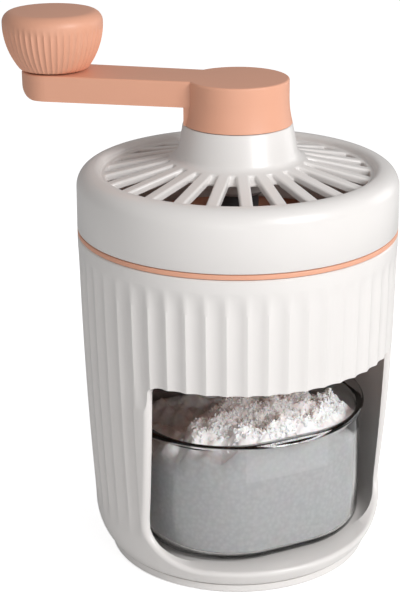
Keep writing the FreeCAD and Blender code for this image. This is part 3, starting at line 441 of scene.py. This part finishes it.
rings = [[at_depth(p, -CUTTER_OUT, LIP) for p in window_outline(LIP)]]
for n in range(LIP_STEPS + 1):
    a = math.radians(90 * n / LIP_STEPS)
    grow = LIP * (1 - math.sin(a))
    rings.append([at_depth(p, LIP * (1 - math.cos(a)) - 0.02, grow) for p in window_outline(grow)])
rings.append([at_depth(p, WALL + CUTTER_IN, 0) for p in window_outline(0)])
cut_by(tower, skinned("window_cutter", rings))

# %% [markdown]
# The cut leaves sharp inner edges and a smooth lip.  Shading by angle keeps both, and the tower then
# stands for the CAD housing.

# %% Finish of the tower
shaded(tower, 32)
tower.data.materials.append(WHITE)
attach(tower, "housing")
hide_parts("housing_shell")

# %% [markdown]
# ## The lid
# The lid is a domed ring with a slotted grille inside it and a conical neck in the middle.  It is
# turned like the tower.  The soft shoulder, the step down to the grille and the fillet at the foot
# of the neck are arcs of the outline.  Inside, the outline follows the bearing tube in the neck and
# the plug that centres the lid in the hopper.

# %% The lid's plain form
LID_LOW = 125.8
LID_SIDE_TOP = 141.1
LID_SHOULDER = 6.3
LID_RADIUS = 58.0
GRILLE_OUTER = 49.5
GRILLE_LOW = 144.6
GRILLE_INNER = 24.2
GRILLE_HIGH = 150.4
GRILLE_THICK = 2.4
NECK_BASE = 153.1
NECK_BASE_RADIUS = 21.3
NECK_TOP = 163.0
NECK_TOP_RADIUS = 19.6
NECK_ROOF = 160.4
WASHER_RADIUS = 12.05
WASHER_DEEP = 1.2
TUBE_BORE = 9.46
TUBE_RADIUS = 11.56
TUBE_LOW = 139.6
PLUG_LOW = 120.6
PLUG_INNER = 49.9
PLUG_OUTER = 51.9
SPOKES = 24
GRILLE_SLOPE = (GRILLE_HIGH - GRILLE_LOW) / (GRILLE_OUTER - GRILLE_INNER)


def grille_height(radius):
    """Height of the grille's top at that radius."""
    return GRILLE_LOW + (GRILLE_OUTER - radius) * GRILLE_SLOPE


crest = (LID_RADIUS - LID_SHOULDER, LID_SIDE_TOP)
outline = [(57.2, LID_LOW), (57.9, LID_LOW + 0.1), (58.2, LID_LOW + 0.5)]
outline += arc(crest, LID_SHOULDER, 0, 90, 12)
outline += arc((GRILLE_OUTER + 2, LID_SIDE_TOP + LID_SHOULDER - 2), 2, 90, 180, 5)
outline += arc((GRILLE_OUTER - 0.8, GRILLE_LOW + 1.0), 0.8, 0, -77, 4)
outline += [(GRILLE_OUTER - n * 3.0, grille_height(GRILLE_OUTER - n * 3.0)) for n in range(1, 9)]
outline += arc((24.9, 153.6), 3.2, -103, -172, 6)
outline += [(NECK_BASE_RADIUS, NECK_BASE + 0.6), (NECK_TOP_RADIUS + 0.15, NECK_TOP - 0.6)]
outline += [(NECK_TOP_RADIUS - 0.3, NECK_TOP), (WASHER_RADIUS, NECK_TOP)]
outline += [(WASHER_RADIUS, NECK_TOP - WASHER_DEEP), (TUBE_BORE, NECK_TOP - WASHER_DEEP)]
outline += [(TUBE_BORE, TUBE_LOW), (TUBE_RADIUS, TUBE_LOW)]
outline += [(TUBE_RADIUS, NECK_ROOF), (17.4, NECK_ROOF), (19.1, 149.2)]
outline += [(22.2, grille_height(22.2) - GRILLE_THICK)]
outline += [(PLUG_INNER, grille_height(PLUG_INNER) - GRILLE_THICK), (PLUG_INNER, PLUG_LOW + 1)]
outline += [(PLUG_INNER + 0.5, PLUG_LOW), (PLUG_OUTER - 0.5, PLUG_LOW), (PLUG_OUTER, PLUG_LOW + 1)]
outline += [(PLUG_OUTER, LID_SIDE_TOP), (55.6, LID_SIDE_TOP - 1), (55.8, LID_LOW), (57.2, LID_LOW)]
lid = turned("lid_dome", outline, SPOKES * 12)
print("lid outline:", len(outline), "points")

# %% [markdown]
# The slots are cut by one cutter with 24 fingers.  Each finger is a solid through rings that follow
# the slope of the grille.  The rings widen towards the top, so every spoke gets a rounded edge.  The
# slot's outer end follows a circle, and its inner end is first a shallow bay beside the neck: the
# hole itself starts a little further out.

# %% The lid's slots
SLOT_OUTER = 47.5
SLOT_INNER = 24.9
HOLE_INNER = 27.8
RECESS = 1.3
SPOKE_WIDTH = 4.4
SPOKE_EDGE = 0.9
EDGE_STEPS = 5
TIP_ROUND = 1.1
OVER_TOP = 0.03


def slot_outline(grow, inner):
    """Points (along, across) of a slot on the +X side, grown by that much."""
    half_pitch = math.pi / SPOKES
    side = SPOKE_WIDTH / 2 - grow
    near = inner - grow * 0.5
    far = SLOT_OUTER + grow
    wide = near * math.tan(half_pitch) - side / math.cos(half_pitch)
    end = math.asin(math.sin(half_pitch) - side / far)
    tip = Vector((far * math.cos(end), -far * math.sin(end)))
    corner = TIP_ROUND + grow * 0.3
    first_x = near + 0.5
    first_y = -wide
    last_x = tip.x - corner
    last_y = tip.y + corner * 0.12
    points = [(near, -wide * 0.35), (near + 0.12, -wide * 0.8)]
    points += [(first_x + (last_x - first_x) * n / 6, first_y + (last_y - first_y) * n / 6)
               for n in range(7)]
    points += [(tip.x - corner * 0.35, tip.y + corner * 0.22)]
    points += [(far * math.cos(a), far * math.sin(a)) for a in [-end * 0.72, -end * 0.36]]
    mirrored = [(x, -y) for x, y in reversed(points)]
    return points + [(far, 0.0)] + mirrored


def finger(bearing):
    """The cutter of one slot."""
    levels = [(3.0, SPOKE_EDGE, SLOT_INNER), (OVER_TOP, SPOKE_EDGE, SLOT_INNER)]
    for n in range(1, EDGE_STEPS + 1):
        a = math.radians(90 * n / EDGE_STEPS)
        above = OVER_TOP - SPOKE_EDGE * (1 - math.cos(a))
        levels.append((above, SPOKE_EDGE * (1 - math.sin(a)), SLOT_INNER))
    levels += [(-RECESS, 0.0, SLOT_INNER + 0.6), (-RECESS - 0.5, 0.0, HOLE_INNER)]
    levels.append((-GRILLE_THICK - 3, 0.0, HOLE_INNER))
    rings = []
    for above, grow, inner in levels:
        ring = []
        for x, y in slot_outline(grow, inner):
            z = grille_height(math.hypot(x, y)) + above
            ring.append((x * math.cos(bearing) - y * math.sin(bearing),
                         x * math.sin(bearing) + y * math.cos(bearing), z))
        rings.append(ring)
    return skinned("finger", rings)


fingers = [finger(math.radians(360 / SPOKES * n)) for n in range(SPOKES)]
nothing_selected()
for one in fingers:
    one.select_set(True)
bpy.context.view_layer.objects.active = fingers[0]
bpy.ops.object.join()
cut_by(lid, fingers[0])

# %% [markdown]
# The lid lifts off with the crank, so it rides on the lid's body and stands for the CAD lid.

# %% Finish of the lid
shaded(lid, 40)
lid.data.materials.append(WHITE)
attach(lid, "lid")
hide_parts("lid_shell")

# %% [markdown]
# ## The knob
# The knob is a small fluted turning: its side widens upwards, 48 hollows run up it and end in
# little arches under a smooth cap.  The outline is turned where the knob stands, and each point of
# the side is then moved in by its share of a round hollow, as on the tower.

# %% The knob
KNOB_LOW = 179.8
KNOB_FOOT = 12.2
KNOB_RADIUS = 18.0
KNOB_SIDE = 16.7
KNOB_SWEEP = 26.0
KNOB_SHOULDER = 4.0
KNOB_TOP = KNOB_LOW + KNOB_SIDE + KNOB_SHOULDER
KNOB_FLUTES = 48
KNOB_DEPTH = 0.42
KNOB_ARCH = 3.0
KNOB_FLUTE_TOP = KNOB_LOW + KNOB_SIDE - 0.4
BUSH_BORE = 4.11
BUSH_TOP = 196.6
BOSS_RADIUS = 6.51
HOLLOW_RADIUS = 10.2
HOLLOW_TOP = 193.3

knob_low, knob_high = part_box("knob_grip")
knob_x = (knob_low[0] + knob_high[0]) / 2 / MM
knob_y = (knob_low[1] + knob_high[1]) / 2 / MM
SIDE_CENTRE = circle_centre((KNOB_FOOT, KNOB_LOW), (KNOB_RADIUS, KNOB_LOW + KNOB_SIDE), KNOB_SWEEP)


def knob_side(z):
    """Radius of the knob's side at height z."""
    return SIDE_CENTRE.x + math.sqrt(KNOB_SWEEP ** 2 - (z - SIDE_CENTRE.y) ** 2)


side_rows = [KNOB_LOW + 0.3 + n * 0.82 for n in range(20)]
outline = [(0, BUSH_TOP), (BUSH_BORE, BUSH_TOP), (BUSH_BORE, KNOB_LOW), (BOSS_RADIUS, KNOB_LOW)]
outline += [(BOSS_RADIUS, HOLLOW_TOP), (HOLLOW_RADIUS, HOLLOW_TOP), (HOLLOW_RADIUS, KNOB_LOW)]
outline += [(KNOB_FOOT - 0.4, KNOB_LOW)] + [(knob_side(z), z) for z in side_rows]
outline += arc((KNOB_RADIUS - KNOB_SHOULDER, KNOB_LOW + KNOB_SIDE), KNOB_SHOULDER, 6, 90, 9)
outline += [(9.0, KNOB_TOP + 0.13), (4.5, KNOB_TOP + 0.22), (0, KNOB_TOP + 0.25), (0, BUSH_TOP)]
knob = turned("knob_fluted", outline, KNOB_FLUTES * 6)
for vert in knob.data.vertices:
    x, y, z = vert.co / MM
    radius = math.hypot(x, y)
    if radius > HOLLOW_RADIUS + 0.4 and z < KNOB_FLUTE_TOP:
        across = (math.degrees(math.atan2(y, x)) / 360 * KNOB_FLUTES) % 1.0
        rise = min((KNOB_FLUTE_TOP - z) / KNOB_ARCH, 1.0)
        depth = KNOB_DEPTH * (1 - (2 * across - 1) ** 2) * (1 - (1 - rise) ** 2)
        vert.co.x *= (radius - depth) / radius
        vert.co.y *= (radius - depth) / radius
    vert.co += Vector((knob_x, knob_y, 0)) * MM
shaded(knob, 38)
knob.data.materials.append(PEACH)
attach(knob, "knob")
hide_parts("knob_grip")

# %% [markdown]
# ## The cup
# The cup is moulded from clear, smoky plastic: a round rim with a thick bead over a softly squared
# body with a rounded foot.  One solid through rings makes it in a single pass, from the middle of
# its underside up the outside, over the bead and down the inside to the middle of its floor.

# %% The cup
CUP_LOW = FLOOR + 0.2
CUP_TOP = 57.7
CUP_HALF = 42.6
CUP_CORNER = 33.0
CUP_RIM = 47.6
BEAD = 0.85
BEAD_HEIGHT = 56.85
CUP_WALL = 1.8
CUP_FLOOR = 2.2
CUP_FOOT = 6.5
CUP_FRONT_FOOT = 3.2
CUP_DRAFT = math.tan(math.radians(0.4))
CUP_POINTS = 144


def bearings(count):
    """Evenly spaced bearings all round in radians, from the front towards the right."""
    return [2 * math.pi * n / count for n in range(count)]


def body_radius(bearing, inset, z):
    """Radius of the squared body in one direction, inset by that much from its outside."""
    grow = CUP_DRAFT * (z - CUP_LOW) - inset
    half = CUP_HALF + grow
    corner = CUP_CORNER + grow
    flat = CUP_HALF - CUP_CORNER
    turn = abs((bearing + math.pi / 4) % (math.pi / 2) - math.pi / 4)
    if half * math.tan(turn) < flat:
        return half / math.cos(turn)
    across = flat * (math.cos(turn) - math.sin(turn))
    return flat * (math.cos(turn) + math.sin(turn)) + math.sqrt(corner ** 2 - across ** 2)


def foot_round(bearing):
    """Radius of the foot's edge: full at the sides, where the window is rounded, small in front."""
    return CUP_FRONT_FOOT + (CUP_FOOT - CUP_FRONT_FOOT) * math.sin(bearing) ** 2


def foot_ring(turn, inset=0.0, lift=0.0, count=CUP_POINTS):
    """A ring of the rounded foot; the turn runs from its underside, 0, to its side, 90 degrees."""
    points = []
    for a in bearings(count):
        rounding = foot_round(a) - inset
        z = CUP_LOW + lift + rounding * (1 - math.cos(turn))
        radius = body_radius(a, inset + rounding * (1 - math.sin(turn)), z)
        points.append((radius * math.sin(a), -radius * math.cos(a), z))
    return points


def cup_ring(inset, z, share=1.0, rounded_radius=0.0, count=CUP_POINTS):
    """A ring of the cup: the squared body, or partly or wholly the round rim."""
    points = []
    for a in bearings(count):
        radius = share * body_radius(a, inset, z) + (1 - share) * rounded_radius
        points.append((radius * math.sin(a), -radius * math.cos(a), z))
    return points


def quarter(steps):
    """Evenly spaced angles of a quarter turn."""
    return [math.radians(90 * n / steps) for n in range(steps + 1)]


rings = [cup_ring(36, CUP_LOW + 0.6), cup_ring(12, CUP_LOW + 0.6), cup_ring(10.5, CUP_LOW)]
rings += [foot_ring(a) for a in quarter(8)]
rings += [cup_ring(0, z) for z in (24, 32, 40, 48, 54.5)]
rings += [cup_ring(-0.3, 55.6), cup_ring(0, 56.0, 0.25, CUP_RIM - 0.7)]
rings += [cup_ring(0, BEAD_HEIGHT - BEAD * math.cos(a), 0, CUP_RIM - BEAD * (1 - math.sin(a)))
          for a in [math.radians(22.5 * n) for n in range(9)]]
rings += [cup_ring(0.6, 57.5, 0.7, CUP_RIM - 1.6), cup_ring(CUP_WALL - 0.5, 57.3)]
rings += [cup_ring(CUP_WALL, z) for z in (56.6, 48, 40, 32, 24)]
inner_floor = CUP_LOW + CUP_FLOOR
rings += [foot_ring(a, CUP_WALL, CUP_FLOOR) for a in reversed(quarter(6))]
rings += [cup_ring(36, inner_floor)]
cup = shaded(skinned("cup_clear", rings), 50)
cup.data.materials.append(CLEAR)
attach(cup, "cup")
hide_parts("shaved_ice_cup")

# %% [markdown]
# ## The shaved ice
# The photograph shows the cup full of shaved ice with a loose heap on it.  A filling is built
# through rings like the cup, and its points are pushed about by a noise of several sizes: large
# lumps first, then crumbs.  On its top lie about two thousand small flakes.  Each is a crushed
# icosphere of 20 faces, so the whole heap stays light.

# %% The heap of ice
ICE_PLACE = Vector((4.0, -19.0))
ICE_WIDE = 35.0
ICE_FRONT = 31.0
ICE_BACK = 19.0
ICE_LEVEL = 52.5
ICE_RISE = 8.5
ICE_DROP = -1.5
ICE_RINGS = 60
ICE_POINTS = CUP_POINTS * 2
PACKED_TOP = 44
CRUMBS_REACH = 41
PACKED_REACH = 43


def off_middle(x, y):
    """Distance from the heap's middle, as a share of its reach; it is steeper behind."""
    reach = ICE_FRONT if y < ICE_PLACE.y else ICE_BACK
    return math.hypot((x - ICE_PLACE.x) / ICE_WIDE, (y - ICE_PLACE.y) / reach)


def heap_height(x, y):
    """Height of the heap over a point of the plan."""
    lumps = noise.noise(Vector((x, y, 3)) / 8) * 5.0 + noise.noise(Vector((x, y, 9)) / 3.5) * 2.4
    return ICE_LEVEL + ICE_RISE * max(1 - off_middle(x, y) ** 2.4, ICE_DROP) + lumps


def in_heap(share):
    """A ring on the heap's top; share 1 is the cup's wall and 0 its middle."""
    points = []
    for a in bearings(ICE_POINTS):
        radius = (body_radius(a, CUP_WALL + 0.5, CUP_TOP) - 0.2) * max(share, 0.004)
        x = radius * math.sin(a)
        y = -radius * math.cos(a)
        points.append((x, y, heap_height(x, y)))
    return points


rings = [cup_ring(inset, inner_floor + 0.3, count=ICE_POINTS) for inset in (36, 20)]
rings += [foot_ring(a, CUP_WALL + 0.4, CUP_FLOOR + 0.3, ICE_POINTS) for a in quarter(4)]
rings += [cup_ring(CUP_WALL + 0.4, z, count=ICE_POINTS) for z in (24, 30, 36, 42)]
rings += [in_heap(1 - n / ICE_RINGS) for n in range(ICE_RINGS + 1)]
heap = skinned("ice_heap", rings)
for vert in heap.data.vertices:
    place = vert.co / MM
    if place.z > PACKED_TOP and math.hypot(place.x, place.y) < CRUMBS_REACH:
        crumb = noise.noise(place / 1.9) * 0.9 + noise.noise(place / 0.8) * 0.55
        vert.co += Vector((noise.noise(place / 2.3 + Vector((40, 0, 0))) * 0.7, 0, crumb)) * MM
shaded(heap, 180)
heap.data.materials.append(ICE)
heap.data.materials.append(PACKED)
for face in heap.data.polygons:
    middle = face.center / MM
    packed = middle.z < PACKED_TOP or math.hypot(middle.x, middle.y) > PACKED_REACH
    face.material_index = int(packed)
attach(heap, "cup")

# %% [markdown]
# The flakes are strewn with a fixed seed, thicker over the heap than near the wall.  One icosphere
# is added and flattened in edit mode, and its points are copied, turned and crushed for each flake.

# %% The flakes
FLAKES = 2200
STREWN_REACH = 40.5
dice = random.Random(5)
nothing_selected()
bpy.ops.mesh.primitive_ico_sphere_add(subdivisions=1, radius=1, location=(0, 0, 0))
flakes = bpy.context.object
flakes.name = "ice_flakes"
flakes.data.name = "ice_flakes"
bpy.ops.object.mode_set(mode="EDIT")
bpy.ops.transform.resize(value=(1.0, 0.7, 0.45))
bpy.ops.object.mode_set(mode="OBJECT")
pattern = [v.co.copy() for v in flakes.data.vertices]
sides = [tuple(f.vertices) for f in flakes.data.polygons]
points = []
faces = []
while len(faces) < FLAKES * len(sides):
    a = dice.uniform(0, 2 * math.pi)
    r = STREWN_REACH * math.sqrt(dice.random())
    x = r * math.sin(a)
    y = -r * math.cos(a)
    if dice.random() > 1.1 - off_middle(x, y) ** 3:
        continue
    size = dice.uniform(0.35, 1.25) * (1.5 if dice.random() > 0.93 else 1.0)
    turn = Euler([dice.uniform(0, 2 * math.pi) for _ in range(3)]).to_matrix()
    middle = Vector((x, y, heap_height(x, y) + dice.uniform(-0.5, 0.7)))
    first = len(points)
    points += [(middle + turn @ (p * size * dice.uniform(0.7, 1.2))) * MM for p in pattern]
    faces += [tuple(first + n for n in side) for side in sides]
flakes.data.clear_geometry()
flakes.data.from_pydata(points, [], faces)
flakes.data.materials.append(ICE)
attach(flakes, "cup")
print("flakes:", len(faces) // len(sides))

# %% [markdown]
# ## The other nodes
# Every other node keeps its CAD shape and gets its finish.  The hopper and the crank are peach like
# the knob, the driving pieces and the blade's clamp dark, and the bearings natural white.  The
# blade, the knob's pin and the fasteners are steel, the hub's insert brass and the pads rubber.

# %% Finishes of the CAD nodes
FINISHES = {
    WHITE: ["base_cover"],
    PEACH: ["ice_hopper", "crank_arm"],
    DARK: ["blade_holder", "drive_column", "ice_rotor"],
    NATURAL: ["floor_bush", "neck_bush", "knob_bush"],
    STEEL: ["base_screws", "shaving_blade", "blade_screws", "thrust_washer", "shaft_clip",
            "drive_screw", "knob_pin"],
    BRASS: ["hub_insert"],
    RUBBER: ["foot_pads"],
}
for finish, names in FINISHES.items():
    for name in names:
        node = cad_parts[name]
        node.data.materials.clear()
        node.data.materials.append(finish)
print("finished nodes:", sum(len(names) for names in FINISHES.values()))

# %% [markdown]
# ## Floor and light
# The photograph is a cut-out on pure white, lit by a large soft lamp from the front right.  A pale
# floor catches a faint shadow.  Its full white comes from a glow that only the camera sees, so the
# glow adds no light to the shaver.

# %% Floor and backdrop
def backdrop_white(name, strength):
    """Plain pale surface that looks white to the camera alone."""
    material = bpy.data.materials.new(name)
    material.use_nodes = True
    nodes = material.node_tree.nodes
    links = material.node_tree.links
    out = nodes["Material Output"]
    dull = nodes["Principled BSDF"]
    dull.inputs["Base Color"].default_value = (0.86, 0.86, 0.86, 1)
    dull.inputs["Roughness"].default_value = 0.9
    glow = nodes.new("ShaderNodeEmission")
    glow.inputs["Strength"].default_value = strength
    both = nodes.new("ShaderNodeAddShader")
    ray = nodes.new("ShaderNodeLightPath")
    choice = nodes.new("ShaderNodeMixShader")
    links.new(dull.outputs["BSDF"], both.inputs[0])
    links.new(glow.outputs["Emission"], both.inputs[1])
    links.new(ray.outputs["Is Camera Ray"], choice.inputs["Fac"])
    links.new(dull.outputs["BSDF"], choice.inputs[1])
    links.new(both.outputs["Shader"], choice.inputs[2])
    links.new(choice.outputs["Shader"], out.inputs["Surface"])
    return material


nothing_selected()
bpy.ops.mesh.primitive_plane_add(size=6, location=(0, 0, 0))
floor = bpy.context.object
floor.name = "floor"
floor.data.materials.append(backdrop_white("floor_white", 0.70))
print("floor:", [round(side, 2) for side in floor.dimensions], "m")

# %% [markdown]
# The world is a plain white studio.  It lights the shaver evenly at a low level, and only the
# camera sees it at full white.

# %% World
world = bpy.data.worlds.new("studio")
bpy.context.scene.world = world
world.use_nodes = True
nodes = world.node_tree.nodes
links = world.node_tree.links
background = nodes["Background"]
background.inputs["Color"].default_value = (1, 1, 1, 1)
background.inputs["Strength"].default_value = 0.36
seen = nodes.new("ShaderNodeBackground")
seen.inputs["Color"].default_value = (1, 1, 1, 1)
seen.inputs["Strength"].default_value = 1.0
ray = nodes.new("ShaderNodeLightPath")
choice = nodes.new("ShaderNodeMixShader")
links.new(ray.outputs["Is Camera Ray"], choice.inputs["Fac"])
links.new(background.outputs["Background"], choice.inputs[1])
links.new(seen.outputs["Background"], choice.inputs[2])
links.new(choice.outputs["Shader"], nodes["World Output"].inputs["Surface"])
print("world:", world.name, "with", len(nodes), "shader nodes")

# %% [markdown]
# Three soft lamps shape the form.  The main one stands in front, to the right and well above the
# shaver, so that the flutes show.  A weak one draws the right edge, and a weak low one from the left
# reaches into the cup's bay.

# %% Lamps
def soft_box(name, place, size, power):
    """A square area lamp that looks at the middle of the shaver."""
    lamp = bpy.data.lights.new(name, "AREA")
    lamp.size = size
    lamp.energy = power
    holder = bpy.data.objects.new(name, lamp)
    bpy.context.scene.collection.objects.link(holder)
    holder.location = place
    aim = Vector((0, 0, 0.10)) - Vector(place)
    holder.rotation_euler = aim.to_track_quat("-Z", "Y").to_euler()
    print(name, "of", power, "W stands", round(aim.length, 2), "m away")


soft_box("key_lamp", (0.22, -0.72, 0.52), 0.30, 4.8)
soft_box("rim_lamp", (0.75, 0.05, 0.25), 0.35, 0.7)
soft_box("fill_lamp", (-0.42, -0.68, 0.20), 0.4, 0.8)

# %% [markdown]
# ## Camera
# The camera stands 554.5 mm in front of the axis and 302.3 mm above the table, 26.3 degrees round
# towards the left, and looks down by 20.35 degrees.  The photograph has the shaver right of its
# middle, which a small sideways shift gives.

# %% Camera
PHOTO_LONG = 594.0
AXIS_OFFSET = 37.9
FOCAL = 1597.0
SENSOR = 36
AWAY = 0.5545
HIGH = 0.3023
DOWN = 20.35
bearing = math.radians(26.3)
camera_data = bpy.data.cameras.new("camera")
camera = bpy.data.objects.new("camera", camera_data)
bpy.context.scene.collection.objects.link(camera)
camera.location = (-AWAY * math.sin(bearing), -AWAY * math.cos(bearing), HIGH)
camera.rotation_euler = (math.radians(90 - DOWN), 0, -bearing)
camera_data.sensor_width = SENSOR
camera_data.lens = FOCAL / PHOTO_LONG * SENSOR
camera_data.shift_x = -AXIS_OFFSET / PHOTO_LONG
camera_data.clip_start = 0.01
bpy.context.scene.camera = camera
bpy.context.scene.view_settings.view_transform = "Standard"
print("camera: lens", round(camera_data.lens, 1), "mm at", [round(c, 3) for c in camera.location])
